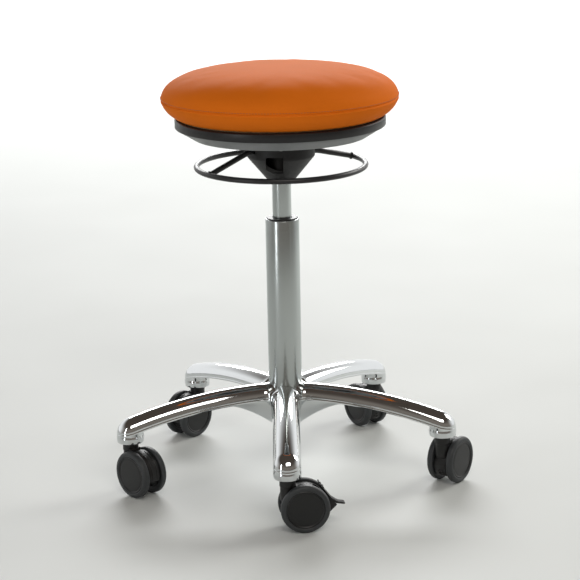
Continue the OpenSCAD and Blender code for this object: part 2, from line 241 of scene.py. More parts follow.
def tube(path, size, around=24):
    """Vertices and faces of a round rod that follows a path."""
    verts, faces = [], []
    side = None
    for k, point in enumerate(path):
        ahead = (path[min(k + 1, len(path) - 1)] - path[max(k - 1, 0)]).normalized()
        if side is None:
            side = ahead.orthogonal()
        side = (side - ahead * side.dot(ahead)).normalized()
        up = ahead.cross(side)
        for j in range(around):
            angle = 2 * math.pi * j / around
            verts.append(point + (side * math.cos(angle) + up * math.sin(angle)) * size)
    for k in range(len(path) - 1):
        for j in range(around):
            n = (j + 1) % around
            a, b = k * around, (k + 1) * around
            faces.append([a + j, a + n, b + n, b + j])
    faces.append(list(range(around))[::-1])
    faces.append(list(range(len(verts) - around, len(verts))))
    return verts, faces


def slab(outline, width):
    """An outline of (distance behind the stem, height) given a width across the caster."""
    verts = [Vector((x, -s, z)) for x in (-width / 2, width / 2) for s, z in outline]
    count = len(outline)
    faces = [list(range(count)), list(range(count, 2 * count))[::-1]]
    for k in range(count):
        n = (k + 1) % count
        faces.append([k, n, count + n, count + k])
    return verts, faces


def joined(*shapes):
    verts, faces = [], []
    for more_verts, more_faces in shapes:
        start = len(verts)
        verts.extend(more_verts)
        faces.extend([[start + k for k in face] for face in more_faces])
    return verts, faces


def moved(shape, matrix):
    return [matrix @ v for v in shape[0]], shape[1]


def build(name, shape, place=None, weld=1e-6):
    """A new mesh object with outward normals."""
    work = bmesh.new()
    made = [work.verts.new(v) for v in shape[0]]
    for face in shape[1]:
        work.faces.new([made[k] for k in face])
    if weld:
        bmesh.ops.remove_doubles(work, verts=work.verts, dist=weld)
    bmesh.ops.recalc_face_normals(work, faces=work.faces)
    mesh = bpy.data.meshes.new(name)
    work.to_mesh(mesh)
    work.free()
    if place is not None:
        mesh.transform(place)
    piece = bpy.data.objects.new(name, mesh)
    bpy.context.scene.collection.objects.link(piece)
    return piece


def smooth(piece, angle=35):
    piece.data.shade_smooth()
    piece.data.set_sharp_from_angle(angle=math.radians(angle))


def bevel(piece, width, segments=3, angle=40):
    """Rounds the edges that are sharper than an angle, so that they catch the light."""
    step = piece.modifiers.new("rounded_edges", "BEVEL")
    step.width = width
    step.segments = segments
    step.limit_method = "ANGLE"
    step.angle_limit = math.radians(angle)
    step.harden_normals = True


def settle(piece):
    """Replaces a piece's mesh by what its modifiers make of it."""
    graph = bpy.context.evaluated_depsgraph_get()
    mesh = bpy.data.meshes.new_from_object(piece.evaluated_get(graph))
    piece.modifiers.clear()
    piece.data = mesh


def cut(piece, shape):
    """Takes a closed shape out of a piece."""
    tool = build(piece.name + "_cutter", shape)
    step = piece.modifiers.new("cut", "BOOLEAN")
    step.operation = "DIFFERENCE"
    step.solver = "EXACT"
    step.object = tool
    bpy.context.view_layer.update()
    settle(piece)
    bpy.data.objects.remove(tool)


def absorb(piece, shape, weld):
    """Adds a shape to a piece's mesh, and each keeps its own surface."""
    part = build(piece.name + "_part", shape, weld=weld)
    work = bmesh.new()
    work.from_mesh(piece.data)
    work.from_mesh(part.data)
    work.to_mesh(piece.data)
    work.free()
    bpy.data.objects.remove(part)


def block(low, high):
    """A plain box as a shape, for cutting."""
    verts = [Vector((x, y, z)) for x in (low[0], high[0]) for y in (low[1], high[1])
             for z in (low[2], high[2])]
    faces = [[0, 1, 3, 2], [4, 6, 7, 5], [0, 4, 5, 1], [2, 3, 7, 6], [0, 2, 6, 4], [1, 5, 7, 3]]
    return verts, faces


def finish_piece(piece, material, body, replaced=()):
    """Gives a piece its finish and its body, and hides the CAD nodes that it stands for."""
    piece.data.materials.clear()
    for one in material if isinstance(material, (list, tuple)) else [material]:
        piece.data.materials.append(one)
    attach(piece, body)
    if replaced:
        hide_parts(*replaced)
    return piece


# ---- material tools ----

def add(tree, kind, settings=None, **links):
    """Adds a node. Settings set its properties or its sockets, and links join its sockets."""
    node = tree.nodes.new(kind)
    for name, value in (settings or {}).items():
        if hasattr(node, name):
            setattr(node, name, value)
        else:
            node.inputs[name].default_value = value
    for name, source in links.items():
        socket = node.inputs[int(name[1:])] if name[0] == "_" else node.inputs[name]
        tree.links.new(source, socket)
    return node


def surface(name, settings):
    """A new material with its shader, and the coordinates of the piece in metres."""
    material = bpy.data.materials.new(name)
    material.use_nodes = True
    tree = material.node_tree
    shader = tree.nodes["Principled BSDF"]
    for key, value in settings.items():
        shader.inputs[key].default_value = value
    place = add(tree, "ShaderNodeTexCoord").outputs["Object"]
    return material, tree, shader, place


def grain(tree, place, millimetres, detail=3.0, stretch=(1, 1, 1)):
    """Noise whose lumps are about that many millimetres across."""
    scaled = add(tree, "ShaderNodeMapping", {"Scale": stretch}, Vector=place)
    return add(tree, "ShaderNodeTexNoise", {"Scale": 1 / (millimetres * MM), "Detail": detail},
               Vector=scaled.outputs[0]).outputs["Fac"]


def tint(tree, shader, value, base, spread):
    """Varies the base colour by a pattern, from darker to lighter by the spread."""
    low = [c * (1 - spread) for c in base] + [1]
    high = [min(1, c * (1 + spread)) for c in base] + [1]
    mix = add(tree, "ShaderNodeMix", {"data_type": "RGBA"})
    tree.links.new(value, mix.inputs["Factor"])
    mix.inputs[6].default_value = low
    mix.inputs[7].default_value = high
    tree.links.new(mix.outputs[2], shader.inputs["Base Color"])


def vary(tree, shader, value, socket, low, high):
    """Lets a pattern move one of the shader's values between two levels."""
    ranged = add(tree, "ShaderNodeMapRange", {"To Min": low, "To Max": high}, Value=value)
    tree.links.new(ranged.outputs[0], shader.inputs[socket])


def relief(tree, shader, value, depth, strength=1.0, under=None):
    """Bump of a real depth in millimetres, on top of another bump where one is given."""
    bump = add(tree, "ShaderNodeBump", {"Strength": strength, "Distance": depth * MM}, Height=value)
    if under is not None:
        tree.links.new(under, bump.inputs["Normal"])
    tree.links.new(bump.outputs[0], shader.inputs["Normal"])
    return bump.outputs[0]


# ---- materials ----

def upholstery_vinyl(base):
    # PVC-coated upholstery fabric, embossed: soft wide highlights and a fine pebble grain
    material, tree, shader, place = surface("pvc_coated_fabric_embossed", {
        "Roughness": 0.66, "IOR": 1.30, "Specular IOR Level": 0.08})
    tint(tree, shader, grain(tree, place, 45), base, 0.05)
    # embossed pebbles of 1.4 mm, coarser than the real 0.7 mm so that they show
    pebbles = add(tree, "ShaderNodeTexVoronoi", {"Scale": 1 / (1.4 * MM)}, Vector=place)
    first = relief(tree, shader, pebbles.outputs["Distance"], 0.12, 0.35)
    relief(tree, shader, grain(tree, place, 9), 0.25, 0.3, under=first)
    vary(tree, shader, grain(tree, place, 6), "Roughness", 0.60, 0.72)
    return material


def sewing_thread(base):
    # Bonded polyester sewing thread, twisted: matt with fine slanting strands
    material, tree, shader, place = surface("polyester_thread_twisted", {
        "Roughness": 0.62, "IOR": 1.54, "Sheen Weight": 0.2})
    tint(tree, shader, grain(tree, place, 0.8), base, 0.18)
    relief(tree, shader, grain(tree, place, 0.4), 0.08, 0.6)
    return material


def moulded_plastic(name, base, roughness, texture_mm=0.9, depth=0.05):
    # Injection-moulded plastic with a spark-eroded texture: an even satin with a faint sparkle
    material, tree, shader, place = surface(name, {"Roughness": roughness, "IOR": 1.5})
    tint(tree, shader, grain(tree, place, 30), base, 0.07)
    vary(tree, shader, grain(tree, place, 12), "Roughness", roughness - 0.05, roughness + 0.06)
    relief(tree, shader, grain(tree, place, texture_mm, detail=2.0), depth, 0.5)
    return material


def powder_coat(base):
    # Epoxy powder coat on steel, baked: dark satin with a slight orange peel
    material, tree, shader, place = surface("powder_coated_steel_baked", {
        "Roughness": 0.42, "IOR": 1.5, "Coat Weight": 0.15, "Coat Roughness": 0.3})
    tint(tree, shader, grain(tree, place, 20), base, 0.10)
    vary(tree, shader, grain(tree, place, 8), "Roughness", 0.36, 0.48)
    relief(tree, shader, grain(tree, place, 1.6, detail=1.0), 0.06, 0.5)
    return material


def coated_casting(base):
    # Powder coat on a die casting: the sand-like skin of the casting shows through
    material, tree, shader, place = surface("powder_coated_die_casting", {
        "Roughness": 0.5, "IOR": 1.5})
    tint(tree, shader, grain(tree, place, 14), base, 0.12)
    first = relief(tree, shader, grain(tree, place, 1.2), 0.10, 0.5)
    relief(tree, shader, grain(tree, place, 7), 0.20, 0.3, under=first)
    vary(tree, shader, grain(tree, place, 6), "Roughness", 0.42, 0.58)
    return material


def polished_aluminium(base):
    # Cast aluminium buffed to a mirror: sharp reflections with a slow ripple from the buffing wheel
    material, tree, shader, place = surface("aluminium_mirror_polished", {
        "Metallic": 1.0, "Roughness": 0.07})
    tint(tree, shader, grain(tree, place, 25), base, 0.02)
    vary(tree, shader, grain(tree, place, 10), "Roughness", 0.045, 0.10)
    relief(tree, shader, grain(tree, place, 13, detail=1.0), 0.035, 0.5)
    return material


def cast_aluminium_with_painted_shade(base):
    # Aluminium as it leaves the die, only tumbled: dull grey with a soft mottling. Its base colour is set
    # darker than the metal's own grey, as painted shade for the webs and hub that sit under the legs
    material, tree, shader, place = surface("aluminium_as_cast_with_painted_shade", {
        "Metallic": 1.0, "Roughness": 0.42})
    tint(tree, shader, grain(tree, place, 8), base, 0.10)
    vary(tree, shader, grain(tree, place, 5), "Roughness", 0.34, 0.50)
    relief(tree, shader, grain(tree, place, 1.2), 0.05, 0.5)
    return material


def drawn_tube(name, base, roughness, line_mm, depth):
    # Steel tube ground round its axis, then plated: fine rings that widen each highlight
    material, tree, shader, place = surface(name, {"Metallic": 1.0, "Roughness": roughness})
    tint(tree, shader, grain(tree, place, 20), base, 0.025)
    rings = grain(tree, place, 40, detail=4.0, stretch=(1, 1, 40 / line_mm))
    relief(tree, shader, rings, depth, 0.35)
    vary(tree, shader, rings, "Roughness", roughness * 0.85, roughness * 1.15)
    return material


def zinc_plate():
    # Zinc-plated steel, passivated: bright grey with cloudy patches
    material, tree, shader, place = surface("zinc_plated_steel", {
        "Metallic": 1.0, "Roughness": 0.33})
    tint(tree, shader, grain(tree, place, 4), linear("B4B6B4"), 0.12)
    vary(tree, shader, grain(tree, place, 3), "Roughness", 0.26, 0.42)
    relief(tree, shader, grain(tree, place, 1.0), 0.02, 0.4)
    return material


def birch_plywood():
    # Birch plywood, sanded: pale faces with long grain and darker plies at the edge
    material, tree, shader, place = surface("birch_plywood_sanded", {"Roughness": 0.6})
    plies = add(tree, "ShaderNodeTexWave", {
        "wave_type": "BANDS", "bands_direction": "Z", "Scale": 1 / (2 * math.pi * 0.45 * MM),
        "Distortion": 0.6}, Vector=place)
    tint(tree, shader, plies.outputs["Fac"], linear("C9A677"), 0.16)
    relief(tree, shader, grain(tree, place, 30, stretch=(1, 14, 1)), 0.10, 0.4)
    return material


def buffer_rubber():
    # Moulded natural rubber: nearly black, dull, with a dusty bloom
    material, tree, shader, place = surface("natural_rubber_moulded", {"Roughness": 0.75})
    tint(tree, shader, grain(tree, place, 6), linear("1B1B1B"), 0.25)
    relief(tree, shader, grain(tree, place, 1.5), 0.08, 0.4)
    return material


def soft_tread(base):
    # Cast polyurethane, turned true: dark grey, half matt, with fine turning marks
    material, tree, shader, place = surface("polyurethane_turned", {
        "Roughness": 0.5, "IOR": 1.5})
    tint(tree, shader, grain(tree, place, 11), base, 0.10)
    vary(tree, shader, grain(tree, place, 7), "Roughness", 0.44, 0.58)
    relief(tree, shader, grain(tree, place, 1.1), 0.06, 0.4)
    return material


# ---- seat ----

def face_height(share, curve):
    """Height of a rounded face at a share of its radius: 1 in the middle and 0 at the seam."""
    flat, full = curve
    return max(0, 1 - share ** flat) ** (1 / full)


def cushion_outline(settings, rows):
    """The cover's outline from its crown past the seam to the board, and the seam's row in it."""
    seam_r = radius("seat_cushion")
    seam_z = top("seat_cushion") - settings.crown
    foot = (radius("seat_board") + 0.003) / seam_r
    path = []
    for k in range(rows + 1):
        share = math.sin(math.pi / 2 * k / rows)
        path.append((share * seam_r, seam_z + settings.crown * face_height(share, CROWN_CURVE)))
    seam_row = len(path) - 1
    below = rows // 2
    for k in range(1, below + 1):
        share = foot + (1 - foot) * math.cos(math.pi / 2 * k / below)
        path.append((share * seam_r, seam_z - BELLY_DEPTH * face_height(share, BELLY_CURVE)))
    return path, seam_row


def even_rows(path, seam_row, fine, coarse):
    """Points of (radius, height, distance past the seam) along a path, close together at the seam."""
    points = np.array(path)
    steps = np.linalg.norm(np.diff(points, axis=0), axis=1)
    along = np.concatenate([[0], np.cumsum(steps)]) - steps[:seam_row].sum()
    stations = [0.0]
    for direction in (1, -1):
        at = 0.0
        limit = along[-1] if direction > 0 else -along[0]
        reach = []
        while True:
            at += fine if at < 0.007 else coarse
            if at > limit - coarse / 2:
                break
            reach.append(direction * at)
        stations += reach + [direction * limit]
    stations = np.array(sorted(set(stations)))
    return np.stack([np.interp(stations, along, points[:, 0]),
                     np.interp(stations, along, points[:, 1]), stations], axis=1)


def blown_cover(settings):
    """The cover swelled by cloth simulation from its cut size, pinned at the seam and under the board."""
    path, seam_row = cushion_outline(settings, 28)
    seam_r, seam_z = path[seam_row]
    inset = settings.swell
    cut_size = []
    for r, z in path:
        drop = inset if z > seam_z else -0.5 * inset if z < seam_z else 0
        cut_size.append((max(0, r - inset * (r / seam_r) ** 2), z - drop))
    low = cut_size[-1][1]
    start = build("cover_start", lathe(cut_size + [(0, low)], 128, closed=False))
    remesh = start.modifiers.new("even", "REMESH")
    remesh.mode = "VOXEL"
    remesh.voxel_size = 0.0055
    settle(start)
    rest = np.array([v.co for v in start.data.vertices])
    pinned = start.vertex_groups.new(name="sewn")
    across = np.hypot(rest[:, 0], rest[:, 1])
    seam = (np.abs(rest[:, 2] - seam_z) < 0.004) & (across > seam_r * 0.96)
    held = np.nonzero((rest[:, 2] < low + 0.006) | seam)[0]
    pinned.add([int(k) for k in held], 1.0, "REPLACE")
    cloth = start.modifiers.new("cloth", "CLOTH")
    recipe = {"quality": 6, "mass": 0.3, "tension_stiffness": 25, "bending_stiffness": 2.0,
              "use_pressure": True, "uniform_pressure_force": 4.0, "vertex_group_mass": "sewn"}
    for name, value in recipe.items():
        setattr(cloth.settings, name, value)
    cloth.settings.effector_weights.gravity = 0
    first, last = 1, 20
    cloth.point_cache.frame_start, cloth.point_cache.frame_end = first, last
    for number in range(first, last + 1):
        bpy.context.scene.frame_set(number)
    settle(start)
    # no point moves further than twice the distance that the cover was cut short
    now = np.array([v.co for v in start.data.vertices])
    step = now - rest
    size = np.linalg.norm(step, axis=1, keepdims=True)
    step *= np.minimum(1, 2 * inset / np.maximum(size, 1e-9))
    for vertex, place in zip(start.data.vertices, rest + step):
        vertex.co = place
    bpy.context.scene.frame_set(first)
    tree = BVHTree.FromPolygons([v.co for v in start.data.vertices],
                                [p.vertices for p in start.data.polygons])
    bpy.data.objects.remove(start)
    return tree


def softened(field, times):
    """Evens out a field that runs round the cushion (axis 1) and along its rows (axis 0)."""
    for _ in range(times):
        field = (field + np.roll(field, 1, axis=1) + np.roll(field, -1, axis=1)) / 3
        inner = (field[:-2] + field[1:-1] + field[2:]) / 3
        field = np.concatenate([field[:1], inner, field[-1:]])
    return field


def outward(rows):
    """Unit normals of the cover's outline, as (radius, height)."""
    slope = np.gradient(rows[:, :2], axis=0)
    normal = np.stack([-slope[:, 1], slope[:, 0]], axis=1)
    return normal / np.linalg.norm(normal, axis=1, keepdims=True)


def blown_push(settings, rows, normal, angles):
    """The unevenness that the blown cover leaves on the drawn outline, round the cushion."""
    blown = blown_cover(settings)
    behind, reach, sample = 0.015, 0.04, 4
    push = np.zeros((len(rows), len(angles)))
    for k in range(1, len(rows) - 2):
        r, z, _ = rows[k]
        out_r, out_z = normal[k]
        for j in range(0, len(angles), sample):
            flat = Vector((math.cos(angles[j]), math.sin(angles[j]), 0))
            out = flat * out_r + Vector((0, 0, out_z))
            start = flat * r + Vector((0, 0, z)) - out * behind
            hit = blown.ray_cast(start, out, reach)[0]
            if hit is not None:
                push[k, j:j + sample] = (hit - start).length - behind
    push[0] = push[1].mean()
    push = softened(np.clip(push, -0.006, 0.006), 14)
    # each row's mean is taken out, so the drawn outline sets the cushion's shape and the
    # simulation adds no more than a fine unevenness, about a tenth of a millimetre
    return push - push.mean(axis=1, keepdims=True)


def seam_relief(rows, angles):
    """Height of the seam's groove, its two soft hems and the puckers of the panel above it."""
    away = rows[:, 2][:, None]

    def ridge(centre, width):
        return np.exp(-((away - centre) / width) ** 2)

    def wander(size, level):
        return np.array([noise.noise(Vector((size * math.cos(a), size * math.sin(a), level)))
                         for a in angles])

    groove = -0.0011 * ridge(0, 0.0009)
    hems = 0.00045 * (ridge(0.0026, 0.0016) + ridge(-0.0026, 0.0016))
    # the upper panel is gathered into the seam, more in some places than in others
    pitch = 0.0041
    turns = round(2 * math.pi * rows[:, 0].max() / pitch)
    gathers = np.clip(0.35 + 2.6 * wander(3.1, 4.0) ** 2, 0, 1.3)
    waves = np.sin(turns * angles + 4.4 * wander(6, 9.0))
    above = np.where(away < 0, ridge(-0.0045, 0.0042), 0)
    return groove + hems + 0.00022 * above * gathers[None, :] * waves[None, :]


def make_cushion(settings):
    """The closed cover with a pocket for the board, and what the stitches need to lie on it."""
    path, seam_row = cushion_outline(settings, 90)
    rows = even_rows(path, seam_row, 0.0007, 0.0035)
    around = 480
    angles = 2 * np.pi * np.arange(around) / around
    normal = outward(rows)
    push = blown_push(settings, rows, normal, angles) + seam_relief(rows, angles)
    push[-1] = 0
    verts, faces = [], []
    for k in range(1, len(rows)):
        for j, angle in enumerate(angles):
            r = rows[k, 0] + normal[k, 0] * push[k, j]
            z = rows[k, 1] + normal[k, 1] * push[k, j]
            verts.append(Vector((r * math.cos(angle), r * math.sin(angle), z)))
    gap = 0.0003
    board_r = radius("seat_board") + gap
    pocket_z = top("seat_board") + gap
    for z in (rows[-1, 1], pocket_z):
        verts += [Vector((board_r * math.cos(a), board_r * math.sin(a), z)) for a in angles]
    crown, pocket = len(verts), len(verts) + 1
    verts.append(Vector((0, 0, rows[0, 1] + push[0, 0])))
    verts.append(Vector((0, 0, pocket_z)))
    for a in range(0, crown - around, around):
        b = a + around
        for j in range(around):
            n = (j + 1) % around
            faces.append([a + j, b + j, b + n, a + n])
    last = crown - around
    for j in range(around):
        n = (j + 1) % around
        faces.append([crown, j, n])
        faces.append([pocket, last + n, last + j])
    cushion = build("seat_upholstery", (verts, faces))
    smooth(cushion, 60)
    return cushion, rows, push, normal, angles


def make_stitches(settings, rows, push, normal, angles):
    """A row of thread stitches that lie on the cover just above its seam."""
    row = int(np.argmin(np.abs(rows[:, 2] + 0.0030)))
    thread = 0.00034
    seam_length = 2 * math.pi * rows[row, 0]
    number = round(seam_length / settings.stitch)
    shapes = []
    for k in range(number):
        path = []
        for step in range(7):
            share = step / 6
            angle = 2 * math.pi * (k + 0.66 * share) / number
            j = int(round(angle / (2 * math.pi) * len(angles))) % len(angles)
            lift = push[row, j] + 0.0004 * math.sin(math.pi * share) - 0.00022
            r = rows[row, 0] + normal[row, 0] * lift
            z = rows[row, 1] + normal[row, 1] * lift
            path.append(Vector((r * math.cos(angle), r * math.sin(angle), z)))
        shapes.append(tube(path, thread, around=8))
    stitches = build("seam_stitches", joined(*shapes), weld=0)
    smooth(stitches, 60)
    return stitches


class STOOL_OT_seat(bpy.types.Operator):
    """Builds the upholstered cushion with its seam and stitches"""
    bl_idname = "stool.seat"
    bl_label = "Build seat"

    def execute(self, context):
        settings = context.scene.stool_seat
        cushion, rows, push, normal, angles = make_cushion(settings)
        finish_piece(cushion, upholstery_vinyl(settings.cover), "seat", ["seat_cushion"])
        stitches = make_stitches(settings, rows, push, normal, angles)
        finish_piece(stitches, sewing_thread(settings.thread), "seat")
        return {"FINISHED"}


# ---- mechanism and ring ----

def spoke_direction():
    """Direction from the column to the front spoke, from the pin that the lever turns on."""
    pin = middle("lever_pivot_pin")
    return Vector((pin.x, pin.y, 0)).normalized()


def make_housing():
    """The bell-shaped casting, with its spoke windows and the recess at its front."""
    foot_z, rim_z = bottom("mechanism_housing"), top("mechanism_housing")
    rim_r = radius("mechanism_housing")
    foot_r, wall = 0.0205, 0.005
    knee_z = foot_z + 0.0355
    socket_r, socket_top = 0.0142, foot_z + 0.047
    profile = rounded([
        (socket_r, foot_z, 0.0006), (foot_r, foot_z, 0.0018), (rim_r, knee_z, 0.004),
        (rim_r, rim_z, 0.0004), (rim_r - wall, rim_z, 0.0004), (rim_r - wall, knee_z + 0.002, 0.003),
        (0.024, foot_z + 0.010, 0.003), (0.022, socket_top, 0.0006), (socket_r, socket_top, 0.0004)])
    housing = build("mechanism_bell", lathe(profile, 160))
    front = spoke_direction()
    turn = Matrix.Rotation(math.atan2(front.y, front.x), 4, "Z")
    front_window = block((0.030, -0.009, socket_top - 0.003), (0.060, 0.009, socket_top + 0.017))
    rear_window = block((-0.060, -0.009, knee_z - 0.012), (-0.030, 0.009, knee_z + 0.016))
    recess = block((-0.022, -0.060, knee_z - 0.021), (0.003, -0.030, knee_z + 0.005))
    for hole in (moved(front_window, turn), moved(rear_window, turn), recess):
        cut(housing, hole)
    smooth(housing, 30)
    bevel(housing, 0.0008, segments=3, angle=45)
    return housing


def make_ring(settings):
    """The bent steel ring with its two spokes and their welds."""
    low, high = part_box("release_ring")
    rod_r = (high.z - low.z) / 2
    ring_r = (high.x - low.x) / 2 - rod_r
    ring_z = (low.z + high.z) / 2
    circle = [(ring_r + rod_r * math.cos(a), ring_z + rod_r * math.sin(a))
              for a in [2 * math.pi * k / 28 for k in range(28)]]
    shapes = [lathe(circle, 240)]
    reach, skew = 0.042, math.radians(1.8)
    # each spoke climbs to the column at its own slope, and the welded ends sit a little off one line
    for side, rise in ((1, 0.372), (-1, 0.245)):
        front = Matrix.Rotation(skew * side, 3, "Z") @ spoke_direction()
        outer = front * side * ring_r + Vector((0, 0, ring_z))
        inner = front * side * reach + Vector((0, 0, ring_z + (ring_r - reach) * rise))
        shapes.append(tube([outer.lerp(inner, k / 12) for k in range(13)], rod_r, around=28))
        # the weld swells round the spoke's end, where it meets the ring
        along = (inner - outer).normalized()
        weld = []
        for k in range(9):
            share = k / 8
            size = rod_r + settings.bead * math.cos(share * math.pi / 2) ** 2
            weld.append((outer + along * (rod_r * (0.55 + 0.75 * share)), size))
        shapes.append(swelling(weld, 28))
    ring = build("hand_ring", joined(*shapes), weld=0)
    smooth(ring, 50)
    return ring


def swelling(stations, around):
    """A closed round shape whose size changes along a straight line of (point, radius)."""
    verts, faces = tube([point for point, _ in stations], 1.0, around)
    for k, (point, size) in enumerate(stations):
        for j in range(around):
            index = k * around + j
            verts[index] = point + (verts[index] - point) * size
    return verts, faces


class STOOL_OT_mechanism(bpy.types.Operator):
    """Builds the mechanism's casting and the hand ring that lifts it"""
    bl_idname = "stool.mechanism"
    bl_label = "Build mechanism"

    def execute(self, context):
        settings = context.scene.stool_ring
        finish_piece(make_housing(), coated_casting(settings.coat), "seat",
                     ["mechanism_housing"])
        finish_piece(make_ring(settings), powder_coat(settings.coat), "release_lever",
                     ["release_ring", "ring_spokes"])
        return {"FINISHED"}


# ---- star base ----

def crest_height(settings, along):
    """Height of a leg's crest at a distance from the column."""
    beyond = along - settings.arc_start
    return top("star_base") - settings.arc + math.sqrt(settings.arc ** 2 - beyond ** 2)


def crest_slope(settings, along):
    """How steeply a leg's crest falls at a distance from the column."""
    beyond = along - settings.arc_start
    return -beyond / math.sqrt(settings.arc ** 2 - beyond ** 2)


def end_tilt(settings, reach, angle):
    """Height that a leg's domed end gains or loses round the stem, at a distance from its axis."""
    slope = crest_slope(settings, stem_circle())
    return slope * reach * math.cos(angle) * (1 - 0.35 * (2 * reach / settings.leg_width) ** 3)


def leg_half(settings):
    """Half of a leg's section as (distance from its middle, depth below its crest)."""
    half_crown, half = settings.crown_width / 2, settings.leg_width / 2
    crown = [(half_crown * math.sin(a), settings.crown_depth * (1 - math.cos(a)))
             for a in [math.pi / 2 * k / 20 for k in range(21)]]
    deep = settings.crown_depth
    return crown + [(half_crown + 0.0002, deep + 0.0003), (half, deep + 0.0008)]


def leg_end(settings):
    """The domed end of a leg, which turns half the section round the stem's axis."""
    edge, depth, stem_r = settings.leg_width / 2, settings.leg_depth, stem_circle()
    turns = 26
    z = crest_height(settings, stem_r)
    verts, faces, bands = [], [], []
    for k in range(turns + 1):
        angle = math.pi / 2 - math.pi * k / turns
        band = []
        for t, d in leg_half(settings)[1:] + [(edge, depth)]:
            tilt = end_tilt(settings, t, angle)
            band.append(Vector((stem_r + t * math.cos(angle), t * math.sin(angle), z - d + tilt)))
        bands.append(list(range(len(verts), len(verts) + len(band))))
        verts.extend(band)
    pole, under = len(verts), len(verts) + 1
    verts.append(Vector((stem_r, 0, z)))
    verts.append(Vector((stem_r, 0, z - depth)))
    for a, b in zip(bands, bands[1:]):
        faces.append([pole, a[0], b[0]])
        faces.append([under, b[-1], a[-1]])
        for j in range(len(a) - 1):
            faces.append([a[j], a[j + 1], b[j + 1], b[j]])
    return verts, faces


def leg_shape(settings):
    """The polished skin of one leg, with its half of the round corners beside the column."""
    half = leg_half(settings)
    edge, depth = settings.leg_width / 2, settings.leg_depth
    inner_r = radius("column_tube") + 0.0001
    stem_r = stem_circle()
    wedge = math.pi / len(CASTERS)
    # the fillet between two legs is an arc that touches both sides
    corner = edge / math.sin(wedge)
    hub = corner + settings.fillet / math.sin(wedge)
    arc_s, arc_t = hub * math.cos(wedge), hub * math.sin(wedge)
    first_s = (hub - settings.fillet) * math.cos(wedge)
    profile = [(-t, d) for t, d in reversed(half)] + half[1:]
    verts, faces, rows = [], [], []

    def side_at(s):
        if s >= arc_s:
            return edge
        return arc_t - math.sqrt(max(0, settings.fillet ** 2 - (s - arc_s) ** 2))

    def add_row(points):
        rows.append(list(range(len(verts), len(verts) + len(points))))
        verts.extend(points)

    def section(s):
        wide = side_at(s)
        z = crest_height(settings, s)
        points = [(s, t + (wide - edge) * math.copysign((abs(t) / edge) ** 2, t), z - d)
                  for t, d in profile]
        points += [(s, wide, z - depth), (s, 0, z - depth), (s, -wide, z - depth)]
        return points

    # from the column out to where the corners start, each point keeps its share of the wedge
    start = section(first_s)
    blend_rows = 8
    for k in range(blend_rows):
        share = k / blend_rows
        points = []
        for s, t, z in start:
            angle = math.atan2(t, s)
            reach = math.hypot(s, t)
            r = inner_r + (reach - inner_r) * share
            drop = top("star_base") - z
            lift = (1 - share) ** 2 * 0.45 * drop if z > start[-1][2] + 1e-9 else 0
            points.append(Vector((r * math.cos(angle), r * math.sin(angle), z + lift)))
        add_row(points)
    stations = [first_s + (arc_s - first_s) * (1 - math.cos(math.pi / 2 * k / 8)) for k in range(9)]
    stations += [arc_s + (stem_r - arc_s) * k / 46 for k in range(1, 47)]
    for s in stations:
        add_row([Vector(point) for point in section(s)])
    count = len(profile) + 3
    top_last = len(profile) - 1
    for k in range(len(rows) - 1):
        a, b = rows[k], rows[k + 1]
        inner = k < blend_rows
        for j in range(count):
            n = (j + 1) % count
            wall = j in (top_last, count - 1)
            if inner and wall:
                continue
            faces.append([a[j], a[n], b[n], b[j]])
    # the inner ring wall at the column
    ring = rows[0]
    for j in range(top_last):
        low_a = ring[count - 1] if j < top_last / 2 else ring[count - 2]
        faces.append([ring[j], ring[j + 1], low_a])
    faces.append([ring[top_last // 2], ring[count - 2], ring[count - 1]])
    faces.append([ring[top_last], ring[top_last + 1], ring[count - 2]])
    return joined((verts, faces), leg_end(settings))


def boss_shape(settings):
    """The round boss that takes a caster's stem, from below up to the leg's underside."""
    low, marker, stem_r = bottom("star_base"), top("star_base"), stem_circle()
    bore, side = 0.0056, 0.0195
    verts, faces = lathe(rounded([
        (bore, low, 0.0003), (side, low, 0.0012), (0.0202, low + 0.008, 0.002),
        (side, low + 0.0115, 0.003), (side, marker, 0), (bore, marker, 0)]), 96)
    # the points at the marker's height are let down onto the leg's underside
    for vert in verts:
        if vert.z > marker - 0.0001:
            reach, angle = vert.xy.length, math.atan2(vert.y, vert.x)
            if vert.x > 0:
                crest = crest_height(settings, stem_r) + end_tilt(settings, reach, angle)
            else:
                crest = crest_height(settings, stem_r + vert.x)
            vert.z = crest - settings.leg_depth + 0.0004
    return verts, faces


def web_shape(settings):
    """The dull web under a leg, deepest at the hub, with its edges drawn in a little."""
    half, inner, outer = 0.012, 0.0256, 0.105
    end_z, drop, span = 0.1185, 0.0345, 0.077
    verts, faces = [], []
    steps = 20
    for k in range(steps + 1):
        s = inner + (outer - inner) * k / steps
        high = crest_height(settings, s) - settings.leg_depth + 0.001
        low = min(high - 0.0006, end_z - drop * ((outer - s) / span) ** 1.7)
        deep = high - low
        draft = half - 0.0012 * min(1, deep / 0.03)
        nose = min(0.0016, deep / 3)
        edge = [(half, high), (draft, low + nose), (draft - nose * 0.3, low + nose * 0.3),
                (draft - nose, low)]
        section = [(-t, z) for t, z in edge] + edge[::-1]
        verts += [Vector((s, t, z)) for t, z in section]
    width = len(section)
    for k in range(steps):
        for j in range(width):
            n = (j + 1) % width
            a, b = k * width, (k + 1) * width
            faces.append([a + j, b + j, b + n, a + n])
    faces.append(list(range(width)))
    faces.append(list(range(steps * width, steps * width + width))[::-1])
    return verts, faces


def hub_shape(settings):
    """The dull cylinder round the column, between the webs."""
    low = bottom("column_tube") - 0.002
    bore = radius("column_tube") + 0.0001
    high = top("star_base") - settings.leg_depth + 0.002
    return lathe(rounded([
        (bore, low, 0.0004), (0.0280, low, 0.0020), (0.0290, low + 0.012, 0.004),
        (0.0325, high, 0.001), (bore, high, 0)]), 128)


